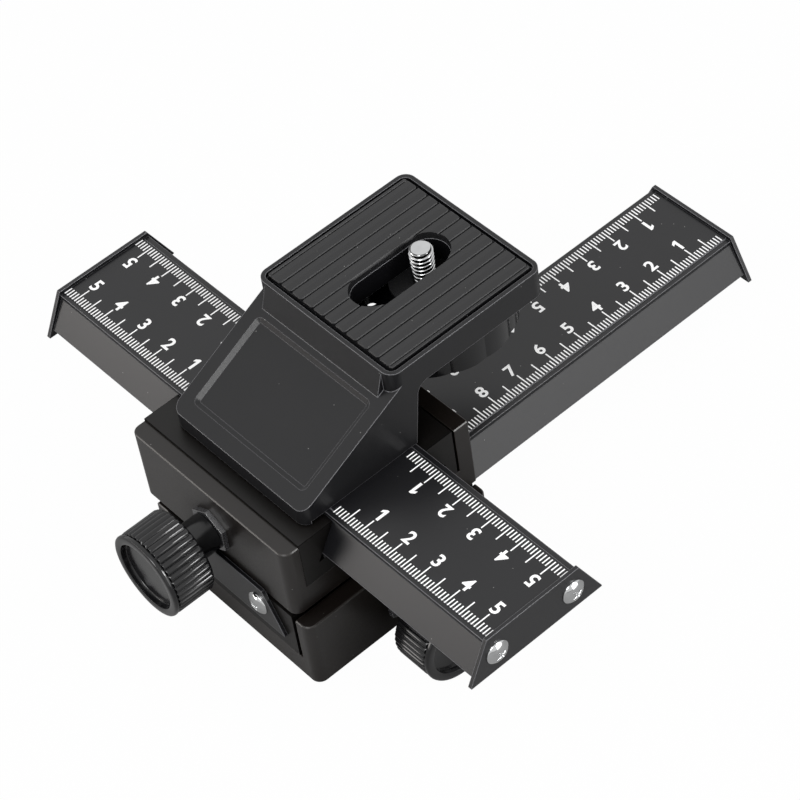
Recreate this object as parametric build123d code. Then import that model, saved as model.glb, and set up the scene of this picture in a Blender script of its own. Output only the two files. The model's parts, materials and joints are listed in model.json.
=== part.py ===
from build123d import *
import math
import os

# Two-axis macro focusing rail. Millimetres, +Z up.
# Origin: centre of the lower slide unit's footprint, on its underside.
# The long rail runs along Y through the lower unit, the cross rail along X
# through the middle unit, and a tower on the cross rail carries the platform.

# ---- fits and allowances ----
running = 0.03
sliding = 0.03
clearance = 0.3
end_stop_gap = 0.1
edge_break = 0.3

# ---- dovetail rails ----
rail_length = 159.8
rail_height = 9.5
rail_lip_half = 14.4
rail_lip_height = 1.5
rail_flank_angle = 30.0
rail_edge_band = 1.45
rail_edge_step = 0.3

plate_thickness = 1.05
plate_rise = 0.85
plate_overhang = 1.78
plate_corner_radius = 0.25
plate_screw_across = 11.9
plate_screw_depth = 5.5
plate_screw_radius = 1.5
plate_screw_length = 9.0
plate_screw_head_radius = 3.05
plate_screw_head_height = 1.65
plate_screw_head_edge = 0.5

# ---- rack and pinion ----
tooth_module = 0.7
pinion_teeth = 12
pinion_depth = 14.7
pinion_width = 7.0
pinion_bore_radius = 2.5
pinion_hub_radius = 3.3
pinion_hub_length = 3.4
pinion_pin_radius = 0.75
tooth_backlash = 0.24
tooth_root_gap = 0.22
rack_back = 1.9
rack_end_margin = 1.5
tip_relief = 1.15
root_blend = 0.35

# ---- slide unit: housing, saddle, bearings ----
unit_half_across = 29.3
unit_half_along = 29.4
knob_corner_radius = 2.6
far_corner_radius = 0.4
unit_wall = 4.6
unit_top_depth = 2.1
saddle_top_depth = 1.55
saddle_under_drive = 2.05
lower_knob_gap = 1.3
lower_far_gap = 0.0
middle_knob_gap = 0.0
middle_far_gap = 0.7
rail_shift = 0.5
channel_depth = 11.6
strip_width = 6.0
strip_inset = 0.3
saddle_screw_across = 15.0
saddle_screw_end_margin = 7.4
saddle_screw_radius = 1.5
saddle_screw_head_radius = 2.9
saddle_screw_length = 10.0
notch_half_width = 1.6
notch_height = 0.8
notch_along = 8.0

shaft_far_length = 3.0
hex_circumradius = 6.5
hex_thickness = 1.4
bush_radius = 4.6
far_bush_radius = 3.9

# ---- drive knob ----
knob_end = 50.6
knob_barrel_length = 12.4
knob_radius = 11.65
knob_rib_count = 40
knob_rib_depth = 0.65
knob_rim_thickness = 1.2
knob_rim_gap = 0.35
knob_rim_wall = 2.35
knob_rim_round = 0.5
knob_recess_depth = 1.7
knob_neck_radius = 5.2
knob_socket_depth = 9.0
knob_rib_share = 0.55

# ---- lock screw ----
lock_end_margin = 11.4
lock_depth = 6.0
lock_screw_radius = 2.0
lock_head_radius = 5.3
lock_head_length = 6.5
lock_head_flutes = 16
lock_flute_radius = 0.7
lock_head_gap = 0.4
lock_pad_radius = 2.4

# ---- placing of the two slide units ----
lower_rail_top = 23.7
middle_rail_top = 47.9
middle_unit_x = -3.9
cross_rail_x = -1.6

rail_screw_across = 9.5
rail_screw_along = 17.5
rail_screw_radius = 2.0
rail_screw_head_radius = 3.8
rail_screw_grip = 5.0

# ---- cross recess of the fixing screws, as shares of the head radius ----
recess_reach = 0.55
recess_blade = 0.11
recess_depth = 0.35

# ---- tripod sockets in the lower housing ----
socket_offset = 14.0
small_socket_radius = 3.175
small_socket_minor = 2.59
large_socket_radius = 4.7625
large_socket_minor = 3.98
socket_wall = 1.4
socket_depth = 6.0

# ---- tower and platform ----
tower_half_width = 24.8
tower_front = -20.3
tower_hang = 0.9
tower_front_height = 3.9
tower_slope = 0.525
tower_wall = 2.2
tower_floor = 4.0
tower_corner_radius = 3.0
tower_rear_foot = 15.25
tower_rear_top = 18.15
tower_rear_round = 3.5
platform_front = 10.65
platform_rear = 59.5
platform_top = 26.35
platform_thickness = 8.15
platform_corner_radius = 3.2
band_half_width = 21.3
band_low_y = 8.55
band_high_z = 25.8
label_half_width = 20.95
label_low = 4.3
label_high = 30.85
label_depth = 0.7
label_draft_width = 1.2
label_floor_radius = 0.5

pad_side_gap = 0.75
pad_end_gap = 1.0
pad_proud = 0.5
pad_thickness = 2.0
pad_corner_radius = 0.8
platform_rim = 1.2
pad_groove_count = 12
pad_groove_pitch = 3.97
pad_groove_width = 0.7
pad_groove_depth = 0.6

slot_half_width = 5.65
slot_front = 21.2
slot_rear = 50.0
slot_pad_margin = 0.3

# ---- camera screw and its wheel ----
screw_y = 42.5
screw_radius = 3.175
screw_shank_radius = 2.9
screw_tip = 28.9
screw_chamfer = 0.5
wheel_radius = 22.2
wheel_lobes = 14
wheel_notch_radius = 21.75
wheel_notch_turn = -2.5
wheel_low = 6.7
wheel_high = 15.5
wheel_rim_wall = 3.2
wheel_web = 2.4
wheel_hub_radius = 8.0
wheel_window_count = 7
wheel_window_radius = 1.6
wheel_window_ring = 14.5
wheel_window_turn = 12.3
washer_radius = 9.0
washer_thickness = 1.0
clip_radius = 5.4
clip_thickness = 0.8

# ---- sizes worked out from the ones above ----
flank_slope = math.tan(math.radians(rail_flank_angle))
flank_gap = sliding / math.cos(math.radians(rail_flank_angle))
rail_foot_half = rail_lip_half + (rail_height - rail_lip_height) * flank_slope
pitch_radius = tooth_module * pinion_teeth / 2
pinion_tip_radius = pitch_radius + tooth_module
pinion_root_radius = pitch_radius - tooth_module - tooth_root_gap
rack_pitch_depth = pinion_depth - pitch_radius
rack_pitch = math.pi * tooth_module
rack_tip_depth = rack_pitch_depth + tooth_module
rack_root_depth = rack_pitch_depth - tooth_module - tooth_root_gap
rack_top_depth = rack_root_depth - rack_back
saddle_floor_depth = pinion_depth + saddle_under_drive
saddle_screw_along = unit_half_along - saddle_screw_end_margin
lock_along = lock_end_margin - unit_half_along
far_bush_length = shaft_far_length + running
# the long rail's front plate stands clear of both units' front faces
long_rail_front = max(unit_half_along, unit_half_across) + end_stop_gap
lower_rail_centre = rail_length / 2 - long_rail_front
middle_underside = lower_rail_top
platform_low = platform_top - platform_thickness


def half_at(depth):
    """Half-width of the rail at a depth below its top face."""
    return rail_lip_half + max(depth - rail_lip_height, 0.0) * flank_slope


def block(x0, x1, y0, y1, z0, z1):
    return Pos(x0, y0, z0) * Box(x1 - x0, y1 - y0, z1 - z0, align=(Align.MIN, Align.MIN, Align.MIN))


def rod_x(radius, x0, x1, y, z):
    turned = Rot(0, 90, 0) * Cylinder(radius, x1 - x0, align=(Align.CENTER, Align.CENTER, Align.MIN))
    return Pos(x0, y, z) * turned


def rod_y(radius, x, y0, y1, z):
    turned = Rot(-90, 0, 0) * Cylinder(radius, y1 - y0, align=(Align.CENTER, Align.CENTER, Align.MIN))
    return Pos(x, y0, z) * turned


def rod_z(radius, x, y, z0, z1):
    return Pos(x, y, z0) * Cylinder(radius, z1 - z0, align=(Align.CENTER, Align.CENTER, Align.MIN))


def rounded_plate(x0, x1, y0, y1, z0, z1, radius):
    outline = Pos((x0 + x1) / 2, (y0 + y1) / 2, z0) * RectangleRounded(x1 - x0, y1 - y0, radius)
    return extrude(outline, amount=z1 - z0)


def prism_along_y(points, y0, y1):
    """A prism along Y from an outline given as (x, z) points."""
    face = make_face(Polyline([(x, y0, z) for x, z in points], close=True))
    return extrude(face, amount=y1 - y0, dir=(0, 1, 0))


def prism_along_x(points, x0, x1):
    """A prism along X from an outline given as (y, z) points."""
    face = make_face(Polyline([(x0, y, z) for y, z in points], close=True))
    return extrude(face, amount=x1 - x0, dir=(1, 0, 0))


def countersunk_screw(radius, head_radius, length, x, y, z):
    """A countersunk screw that points up, its flat head at height z, with a cross recess."""
    head_height = head_radius - radius
    head = Cone(head_radius, radius, head_height, align=(Align.CENTER, Align.CENTER, Align.MIN))
    screw = Pos(x, y, z) * head + rod_z(radius, x, y, z, z + length)
    return screw - cross_recess(head_radius, x, y, z)


def countersink(radius, head_radius, x, y, z):
    """The seat of such a screw: the same cone, so that the head lies face to face in it."""
    head_height = head_radius - radius
    cone = Cone(head_radius, radius, head_height, align=(Align.CENTER, Align.CENTER, Align.MIN))
    return Pos(x, y, z) * cone


def cross_recess(head_radius, x, y, z):
    """A cross recess cut upwards into a head whose face lies at height z."""
    reach = head_radius * recess_reach
    blade = head_radius * recess_blade
    depth = head_radius * recess_depth
    one = block(x - reach, x + reach, y - blade, y + blade, z, z + depth)
    other = block(x - blade, x + blade, y - reach, y + reach, z, z + depth)
    return one + other


# ---- the rail, drawn with its top at z = 0 and centred on x = 0 ----

def rail_body(y0, y1):
    band = rail_lip_half - rail_edge_band
    right = [
        (band, 0),
        (band, -rail_edge_step),
        (rail_lip_half, -rail_edge_step),
        (rail_lip_half, -rail_lip_height),
        (rail_foot_half, -rail_height),
    ]
    left = [(-x, z) for x, z in reversed(right)]
    rail = prism_along_y(right + left, y0, y1)
    groove = rack_half_width() + sliding
    return rail - block(-groove, groove, y0, y1, -rail_height, -rack_top_depth)


def rack_half_width():
    return pinion_width / 2


def rack_bar(y0, y1, mesh_y):
    """The rack: a bar with straight-sided teeth, one of them centred on mesh_y."""
    half = rack_half_width()
    slope = math.tan(math.radians(20))
    bar = block(-half, half, y0, y1, -rack_root_depth, -rack_top_depth)
    tooth_half = (rack_pitch - tooth_backlash) / 4
    tip_half = tooth_half - tooth_module * slope
    root_half = tooth_half + (tooth_module + tooth_root_gap) * slope
    first = math.ceil((y0 + root_half - mesh_y) / rack_pitch)
    last = math.floor((y1 - root_half - mesh_y) / rack_pitch)
    teeth = []
    for number in range(first, last + 1):
        middle = mesh_y + number * rack_pitch
        outline = [
            (middle - root_half, -rack_root_depth),
            (middle - tip_half, -rack_tip_depth),
            (middle + tip_half, -rack_tip_depth),
            (middle + root_half, -rack_root_depth),
        ]
        teeth.append(prism_along_x(outline, -half, half))
    return bar.fuse(*teeth)


def end_plate(y0, y1):
    foot = rail_foot_half + plate_overhang
    outline = [
        (rail_lip_half, plate_rise),
        (foot, -channel_depth),
        (-foot, -channel_depth),
        (-rail_lip_half, plate_rise),
    ]
    plate = prism_along_y(outline, y0, y1)
    plate = fillet(plate.edges().filter_by(Axis.Y), plate_corner_radius)
    for side in (-1, 1):
        plate -= rod_y(plate_screw_radius, side * plate_screw_across, y0, y1, -plate_screw_depth)
    return plate


def domed_head(radius, height, edge):
    """A screw head standing on z = 0: a low dome on a short round edge."""
    rise = height - edge
    ball = (radius ** 2 + rise ** 2) / (2 * rise)
    return rod_z(radius, 0, 0, 0, height) & (Pos(0, 0, height - ball) * Sphere(ball))


def plate_screw(x, face_y, outward):
    """A pan-head screw in a rail's end: outward is the direction its head faces along Y."""
    shank = rod_z(plate_screw_radius, 0, 0, -plate_screw_length, 0)
    head = domed_head(plate_screw_head_radius, plate_screw_head_height, plate_screw_head_edge)
    recess = Rot(180, 0, 0) * cross_recess(plate_screw_head_radius, 0, 0, 0)
    recess = Pos(0, 0, plate_screw_head_height) * recess
    screw = shank + (head - recess)
    return Pos(x, face_y, -plate_screw_depth) * (Rot(-90 * outward, 0, 0) * screw)


def rail_set(centre_y, mesh_y, screw_places):
    """The rail with its rack, end plates and screws; screw_places are its upward fixing screws."""
    y0 = centre_y - rail_length / 2
    y1 = centre_y + rail_length / 2
    rail = rail_body(y0, y1)
    for x, y, length in screw_places:
        rail -= rod_z(rail_screw_radius, x, y, -rail_height, 0)
        rail -= countersink(rail_screw_radius, rail_screw_head_radius, x, y, -rail_height)
    plates = {}
    screws = []
    for name, face, outward in (("low", y0, -1), ("high", y1, 1)):
        outer = face + outward * plate_thickness
        plates[name] = end_plate(min(face, outer), max(face, outer))
        for side in (-1, 1):
            x = side * plate_screw_across
            inner = face - outward * (plate_screw_length - plate_thickness)
            rail -= rod_y(plate_screw_radius, x, min(face, inner), max(face, inner), -plate_screw_depth)
            screws.append(plate_screw(x, outer, outward))
    rack = rack_bar(y0 + rack_end_margin, y1 - rack_end_margin, mesh_y)
    return rail, rack, plates, screws


# ---- the slide unit, drawn with its rail's top at z = 0, the channel along Y
# ---- and the drive knob on its +X side ----

def channel_cut(y0, y1):
    """The dovetail channel with its sliding gap, open at the top."""
    outline = [
        (half_at(saddle_top_depth) + flank_gap, 0),
        (half_at(saddle_top_depth) + flank_gap, -saddle_top_depth),
        (half_at(channel_depth) + flank_gap, -channel_depth),
        (-half_at(channel_depth) - flank_gap, -channel_depth),
        (-half_at(saddle_top_depth) - flank_gap, -saddle_top_depth),
        (-half_at(saddle_top_depth) - flank_gap, 0),
    ]
    return Pos(-rail_shift, 0, 0) * prism_along_y(outline, y0, y1)


def saddle_screw_places():
    return [(x * saddle_screw_across, y * saddle_screw_along) for x in (-1, 1) for y in (-1, 1)]


def drive_pocket(margin):
    """Room for the pinion and its hub, round the drive axis."""
    x0 = -rail_shift - pinion_width / 2 - margin
    x1 = -rail_shift + pinion_width / 2 + pinion_hub_length + margin
    return rod_x(pinion_tip_radius + margin, x0, x1, 0, -pinion_depth)


def housing_body(underside_depth):
    across = unit_half_across
    along = unit_half_along
    inner = across - unit_wall
    body = block(-across, across, -along, along, -underside_depth, -unit_top_depth)
    body = fillet(body.edges().filter_by(Axis.Z).group_by(Axis.X)[-1], knob_corner_radius)
    body = fillet(body.edges().filter_by(Axis.Z).group_by(Axis.X)[0], far_corner_radius)
    top_edges = body.edges().group_by(Axis.Z)[-1]
    body = chamfer(top_edges, edge_break)
    body -= block(-inner, inner, -along, along, -saddle_floor_depth, 0)
    notch = block(across - notch_height, across, notch_along - notch_half_width,
                  notch_along + notch_half_width, -underside_depth, -underside_depth + notch_height)
    body -= notch
    # drive axis: bush hole in the knob-side wall, blind hole in the far wall, shaft groove and pinion pocket
    body -= rod_x(bush_radius, inner, across, 0, -pinion_depth)
    body -= rod_x(far_bush_radius, -inner - far_bush_length, -inner, 0, -pinion_depth)
    body -= rod_x(pinion_bore_radius + clearance, -inner, inner, 0, -pinion_depth)
    body -= drive_pocket(clearance)
    # lock screw, in the far wall
    body -= rod_x(lock_screw_radius, -across, -inner, lock_along, -lock_depth)
    for x, y in saddle_screw_places():
        body -= rod_z(saddle_screw_radius, x, y, -underside_depth, -saddle_floor_depth)
        body -= countersink(saddle_screw_radius, saddle_screw_head_radius, x, y, -underside_depth)
    return body


def saddle_body(underside_depth, knob_gap, far_gap):
    """The insert with the channel; the gaps are what it leaves to the housing's two walls."""
    inner = unit_half_across - unit_wall
    along = unit_half_along
    body = block(far_gap - inner, inner - knob_gap, -along, along, -saddle_floor_depth, -saddle_top_depth)
    body -= channel_cut(-along, along)
    groove = pinion_bore_radius + clearance
    body -= rod_x(groove, -inner, inner, 0, -pinion_depth)
    body -= block(-inner, inner, -groove, groove, -saddle_floor_depth, -pinion_depth)
    pocket = pinion_tip_radius + clearance
    x0 = -rail_shift - pinion_width / 2 - clearance
    x1 = -rail_shift + pinion_width / 2 + pinion_hub_length + clearance
    body -= block(x0, x1, -pocket, pocket, -saddle_floor_depth, -channel_depth)
    body -= rod_x(lock_pad_radius + sliding, -inner, 0, lock_along, -lock_depth)
    thread_end = saddle_screw_length - (underside_depth - saddle_floor_depth)
    for x, y in saddle_screw_places():
        body -= rod_z(saddle_screw_radius, x, y, -saddle_floor_depth, -saddle_floor_depth + thread_end)
    return body


def glide_strips():
    """Two acetal strips on the channel floor, which the rail's underside rides on."""
    outer = rail_foot_half - strip_inset
    inner = outer - strip_width
    strips = []
    for side in (-1, 1):
        x0 = -rail_shift + min(side * inner, side * outer)
        x1 = -rail_shift + max(side * inner, side * outer)
        top = -rail_height - sliding
        strips.append(block(x0, x1, -unit_half_along, unit_half_along, -channel_depth, top))
    return strips


def saddle_screws(underside_depth):
    screws = []
    for x, y in saddle_screw_places():
        screws.append(countersunk_screw(saddle_screw_radius, saddle_screw_head_radius,
                                        saddle_screw_length, x, y, -underside_depth))
    return screws


def hex_bush():
    """The bearing in the knob-side wall, with its hexagonal flange outside."""
    across = unit_half_across
    hexagon = Rot(0, 90, 0) * RegularPolygon(hex_circumradius, 6, rotation=0)
    hexagon = Pos(across, 0, -pinion_depth) * hexagon
    flange = extrude(hexagon, amount=hex_thickness, dir=(1, 0, 0))
    sleeve = rod_x(bush_radius, across - unit_wall, across, 0, -pinion_depth)
    bore = rod_x(pinion_bore_radius + running, across - unit_wall, across + hex_thickness, 0, -pinion_depth)
    return flange + sleeve - bore


def far_bush():
    inner = unit_half_across - unit_wall
    sleeve = rod_x(far_bush_radius, -inner - far_bush_length, -inner, 0, -pinion_depth)
    bore = rod_x(pinion_bore_radius + running, -inner - far_bush_length, -inner, 0, -pinion_depth)
    return sleeve - bore


def pinion_pin_place():
    return -rail_shift + pinion_width / 2 + pinion_hub_length / 2


def drive_shaft():
    inner = unit_half_across - unit_wall
    knob_side_end = knob_end - knob_barrel_length + knob_socket_depth
    shaft = rod_x(pinion_bore_radius, -inner - shaft_far_length, knob_side_end, 0, -pinion_depth)
    return shaft - pinion_pin()


def pinion_pin():
    reach = pinion_hub_radius - edge_break
    return rod_z(pinion_pin_radius, pinion_pin_place(), 0, -pinion_depth - reach, -pinion_depth + reach)


def pinion():
    """The pinion with a gap centred straight up, towards the rack's tooth."""
    slope = math.tan(math.radians(20))
    tooth_half = (rack_pitch - tooth_backlash) / 4
    tip_half = tooth_half - tooth_module * slope * tip_relief
    root_half = tooth_half + (tooth_module + tooth_root_gap) * slope * root_blend
    sunk_root = pinion_root_radius - tooth_root_gap
    blend_radius = pinion_root_radius + tooth_module * root_blend
    x0 = -rail_shift - pinion_width / 2
    x1 = x0 + pinion_width
    gear = rod_x(pinion_root_radius, x0, x1, 0, 0)
    teeth = []
    for number in range(pinion_teeth):
        outline = [
            (-root_half, sunk_root),
            (-root_half, blend_radius),
            (-tooth_half, pitch_radius),
            (-tip_half, pinion_tip_radius),
            (tip_half, pinion_tip_radius),
            (tooth_half, pitch_radius),
            (root_half, blend_radius),
            (root_half, sunk_root),
        ]
        angle = 360 * (number + 0.5) / pinion_teeth
        teeth.append(Rot(angle, 0, 0) * prism_along_x(outline, x0, x1))
    gear = gear.fuse(*teeth)
    gear += rod_x(pinion_hub_radius, x1, x1 + pinion_hub_length, 0, 0)
    gear -= rod_x(pinion_bore_radius, x0, x1 + pinion_hub_length, 0, 0)
    return Pos(0, 0, -pinion_depth) * gear - pinion_pin()


def drive_knob():
    """The moulded knob: ribbed barrel, smooth rim with a recessed end, neck and shaft socket."""
    barrel_back = knob_end - knob_barrel_length
    rim_back = knob_end - knob_rim_thickness
    core = knob_radius - knob_rib_depth
    knob = rod_x(core, barrel_back, rim_back, 0, 0)
    ribs = []
    rib_half = math.pi * knob_radius / knob_rib_count * knob_rib_share
    for number in range(knob_rib_count):
        angle = 360 * number / knob_rib_count
        rib = rod_x(rib_half, barrel_back + edge_break, rim_back - knob_rim_gap, 0, knob_radius - rib_half)
        ribs.append(Rot(angle, 0, 0) * rib)
    knob = knob.fuse(*ribs)
    rim = rod_x(knob_radius, rim_back, knob_end, 0, 0)
    rim = fillet(rim.edges().group_by(Axis.X)[-1], knob_rim_round)
    knob += rim
    knob += rod_x(knob_neck_radius, unit_half_across + hex_thickness + clearance / 2, barrel_back, 0, 0)
    knob -= rod_x(knob_radius - knob_rim_wall, knob_end - knob_recess_depth, knob_end, 0, 0)
    socket_end = barrel_back + knob_socket_depth
    knob -= rod_x(pinion_bore_radius, unit_half_across, socket_end, 0, 0)
    return Pos(0, 0, -pinion_depth) * knob


def lock_screw():
    """The thumb screw in the far wall; its tip bears on the lock pad."""
    across = unit_half_across
    tip = unit_half_across - unit_wall
    head_back = -across - lock_head_gap
    head = rod_x(lock_head_radius, head_back - lock_head_length, head_back, 0, 0)
    flutes = []
    for number in range(lock_head_flutes):
        flute = rod_x(lock_flute_radius, head_back - lock_head_length, head_back, 0, lock_head_radius)
        flutes.append(Rot(360 * number / lock_head_flutes, 0, 0) * flute)
    head = head.cut(*flutes)
    screw = head + rod_x(lock_screw_radius, head_back, -tip, 0, 0)
    return Pos(0, lock_along, -lock_depth) * screw


def lock_pad():
    """The brass pad between the lock screw and the rail's flank, cut to the flank's slope."""
    inner = unit_half_across - unit_wall
    slug = rod_x(lock_pad_radius, -inner, 0, lock_along, -lock_depth)
    over = lock_pad_radius * 2
    top = half_at(lock_depth) + flank_gap - over * flank_slope
    bottom = half_at(lock_depth) + flank_gap + over * flank_slope
    outline = [
        (-rail_shift - top, -lock_depth + over),
        (-rail_shift - bottom, -lock_depth - over),
        (over, -lock_depth - over),
        (over, -lock_depth + over),
    ]
    beyond = prism_along_y(outline, lock_along - over, lock_along + over)
    return slug - beyond


def slide_unit(prefix, underside_depth, knob_gap, far_gap):
    """Every piece of one slide unit, by node name, in the unit's own frame."""
    return {
        prefix + "_saddle": [saddle_body(underside_depth, knob_gap, far_gap)],
        prefix + "_glide_strips": glide_strips(),
        prefix + "_saddle_screws": saddle_screws(underside_depth),
        prefix + "_hex_bush": [hex_bush()],
        prefix + "_far_bush": [far_bush()],
        prefix + "_shaft": [drive_shaft()],
        prefix + "_pinion": [pinion()],
        prefix + "_pinion_pin": [pinion_pin()],
        prefix + "_knob": [drive_knob()],
        prefix + "_lock_screw": [lock_screw()],
        prefix + "_lock_pad": [lock_pad()],
    }


def rail_nodes(prefix, plate_names, centre_y, screw_places):
    """The rail's pieces by node name; plate_names are its end plates at low and high y."""
    rail, rack, plates, screws = rail_set(centre_y, 0, screw_places)
    move = Pos(-rail_shift, 0, 0)
    return {
        prefix + "_rail": [move * rail],
        prefix + "_rack": [move * rack],
        prefix + plate_names[0]: [move * plates["low"]],
        prefix + plate_names[1]: [move * plates["high"]],
        prefix + "_plate_screws": [move * screw for screw in screws],
    }


def fixing_screws(places):
    return [
        Pos(-rail_shift, 0, 0)
        * countersunk_screw(rail_screw_radius, rail_screw_head_radius, length, x, y, -rail_height)
        for x, y, length in places
    ]


# ---- lower unit and long rail, in the part's frame ----

def placed_lower(nodes):
    return {name: [Pos(0, 0, lower_rail_top) * solid for solid in solids] for name, solids in nodes.items()}


def placed_middle(nodes):
    turn = Pos(middle_unit_x, 0, middle_rail_top) * Rot(0, 0, -90)
    return {name: [turn * solid for solid in solids] for name, solids in nodes.items()}


def long_rail_screw_places():
    length = rail_height + rail_screw_grip
    return [(x * rail_screw_across, y * rail_screw_along, length) for x in (-1, 1) for y in (-1, 1)]


def cross_rail_screw_places():
    length = rail_height + tower_floor - edge_break
    offset = cross_rail_x - middle_unit_x
    return [(x * rail_screw_across, offset + y * rail_screw_along, length) for x in (-1, 1) for y in (-1, 1)]


def tripod_bush(y, radius, minor):
    """A steel insert; minor is the radius of its threaded wall, cut plain."""
    bush = rod_z(radius + socket_wall, 0, y, 0, socket_depth)
    return bush - rod_z(minor, 0, y, 0, socket_depth)


def lower_unit():
    nodes = slide_unit("y", lower_rail_top, lower_knob_gap, lower_far_gap)
    housing = Pos(0, 0, lower_rail_top) * housing_body(lower_rail_top)
    bushes = {}
    for name, y, radius, minor in (
        ("tripod_bush_small", -socket_offset, small_socket_radius, small_socket_minor),
        ("tripod_bush_large", socket_offset, large_socket_radius, large_socket_minor),
    ):
        housing -= rod_z(radius + socket_wall, 0, y, 0, socket_depth)
        bushes[name] = [tripod_bush(y, radius, minor)]
    placed = placed_lower(nodes)
    placed["base_housing"] = [housing]
    placed.update(bushes)
    return placed


def middle_unit():
    """The middle unit, turned a quarter and screwed down on the long rail."""
    underside_depth = middle_rail_top - middle_underside
    nodes = slide_unit("x", underside_depth, middle_knob_gap, middle_far_gap)
    nodes["middle_housing"] = [housing_body(underside_depth)]
    placed = placed_middle(nodes)
    housing = placed["middle_housing"][0]
    for x, y, length in long_rail_screw_places():
        top = lower_rail_top - rail_height + length
        housing -= rod_z(rail_screw_radius, x - rail_shift, y, middle_underside, top)
    placed["middle_housing"] = [housing]
    return placed


# ---- tower and platform, drawn with z = 0 on the cross rail's top ----

def slope_z(y):
    return tower_front_height + tower_slope * (y - tower_front)


def slope_y(z):
    return tower_front + (z - tower_front_height) / tower_slope


def tower_shell():
    """The wedge, the platform on it and the flared band between the platform's front corners."""
    post_back = platform_front + platform_corner_radius
    wedge = prism_along_x(
        [
            (tower_front, -tower_hang),
            (tower_front, tower_front_height),
            (post_back, slope_z(post_back)),
            (post_back, platform_low),
            (tower_rear_top, platform_low),
            (tower_rear_foot, 0),
            (tower_front + tower_wall, 0),
            (tower_front + tower_wall, -tower_hang),
        ],
        -tower_half_width,
        tower_half_width,
    )
    plan = rounded_plate(-tower_half_width, tower_half_width, tower_front,
                         platform_rear, -tower_hang, platform_top, tower_corner_radius)
    platform = rounded_plate(-tower_half_width, tower_half_width, platform_front, platform_rear,
                             platform_low, platform_top, platform_corner_radius)
    shell = (wedge & plan) + platform
    corner = shell.edges().filter_by(Axis.X).sort_by_distance((0, tower_rear_top, platform_low))[0]
    shell = fillet(corner, tower_rear_round)
    band = [
        (platform_front, band_high_z),
        (band_low_y, slope_z(band_low_y)),
        (post_back, slope_z(band_low_y)),
        (post_back, band_high_z),
    ]
    return shell + prism_along_x(band, -band_half_width, band_half_width)


def tower_cavity():
    """The hollow under the slanted face, open to the rear, that the wheel slides into."""
    drop = tower_wall * math.hypot(1, tower_slope)
    inner_half = tower_half_width - tower_wall
    return prism_along_x(
        [
            (slope_y(tower_floor + drop), tower_floor),
            (slope_y(platform_low + drop), platform_low),
            (platform_rear, platform_low),
            (platform_rear, tower_floor),
        ],
        -inner_half,
        inner_half,
    )


def label_recess():
    """The shallow bare recess on the slanted face, its four walls drafted outwards."""
    slant = math.atan(tower_slope)
    half_length = (label_high - label_low) / 2
    inset = label_draft_width
    floor = RectangleRounded(2 * (label_half_width - inset), 2 * (half_length - inset), label_floor_radius)
    above = RectangleRounded(2 * (label_half_width + inset), 2 * (half_length + inset),
                             label_floor_radius + 2 * inset)
    cutter = loft([Pos(0, 0, -label_depth) * floor, Pos(0, 0, label_depth) * above])
    middle = (label_low + label_high) / 2
    y = tower_front + middle * math.cos(slant)
    z = tower_front_height + middle * math.sin(slant)
    return Pos(0, y, z) * (Rot(math.degrees(slant), 0, 0) * cutter)


def slot_cut(z0, z1, margin):
    half = slot_half_width + margin
    between = (slot_rear - slot_front) / 2 - slot_half_width
    middle = (slot_front + slot_rear) / 2
    slot = block(-half, half, middle - between, middle + between, z0, z1)
    slot += rod_z(half, 0, middle - between, z0, z1)
    return slot + rod_z(half, 0, middle + between, z0, z1)


def pad_box(side_gap, end_gap, z0, z1, radius):
    """A box in the platform's plan, this far inside its rim."""
    half = tower_half_width - platform_rim - side_gap
    y0 = platform_front + platform_rim + end_gap
    y1 = platform_rear - platform_rim - end_gap
    return rounded_plate(-half, half, y0, y1, z0, z1, radius)


def tower_screw_places():
    return [(x * rail_screw_along, y * rail_screw_across) for x in (-1, 1) for y in (-1, 1)]


def tower_piece():
    tower = tower_shell() - tower_cavity()
    tower -= label_recess()
    seat = platform_top + pad_proud - pad_thickness
    tower -= pad_box(0, 0, seat, platform_top, platform_corner_radius - platform_rim)
    tower -= slot_cut(platform_low, platform_top, 0)
    for x, y in tower_screw_places():
        tower -= rod_z(rail_screw_radius, x, rail_shift + y, 0, tower_floor - edge_break)
    return tower


def rubber_pad():
    """The pad in its seat, with V grooves along Y and a slot a little wider than the platform's."""
    top = platform_top + pad_proud
    low = top - pad_thickness
    pad = pad_box(pad_side_gap, pad_end_gap, low, top, pad_corner_radius)
    pad -= slot_cut(low, top, slot_pad_margin)
    grooves = []
    for number in range(pad_groove_count):
        x = (number - (pad_groove_count - 1) / 2) * pad_groove_pitch
        outline = [
            (x - pad_groove_width / 2, top),
            (x + pad_groove_width / 2, top),
            (x, top - pad_groove_depth),
        ]
        grooves.append(prism_along_y(outline, platform_front, platform_rear))
    return pad.cut(*grooves)


# ---- camera screw, wheel, washer and clip, on the screw's own axis ----

def camera_screw():
    """The stud: full thread diameter above the washer, a thinner shank in wheel, washer and clip."""
    shoulder = platform_low + sliding
    stud = rod_z(screw_radius, 0, 0, shoulder, screw_tip)
    stud = chamfer(stud.edges().group_by(Axis.Z)[-1], screw_chamfer)
    return stud + rod_z(screw_shank_radius, 0, 0, wheel_low - clip_thickness - clearance, shoulder)


def wheel_point(radius, turn, number):
    """A point on a circle about the screw, this many lobes round from the first notch."""
    angle = math.radians(turn + 360 * number / wheel_lobes)
    return (radius * math.cos(angle), radius * math.sin(angle), wheel_low)


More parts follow.
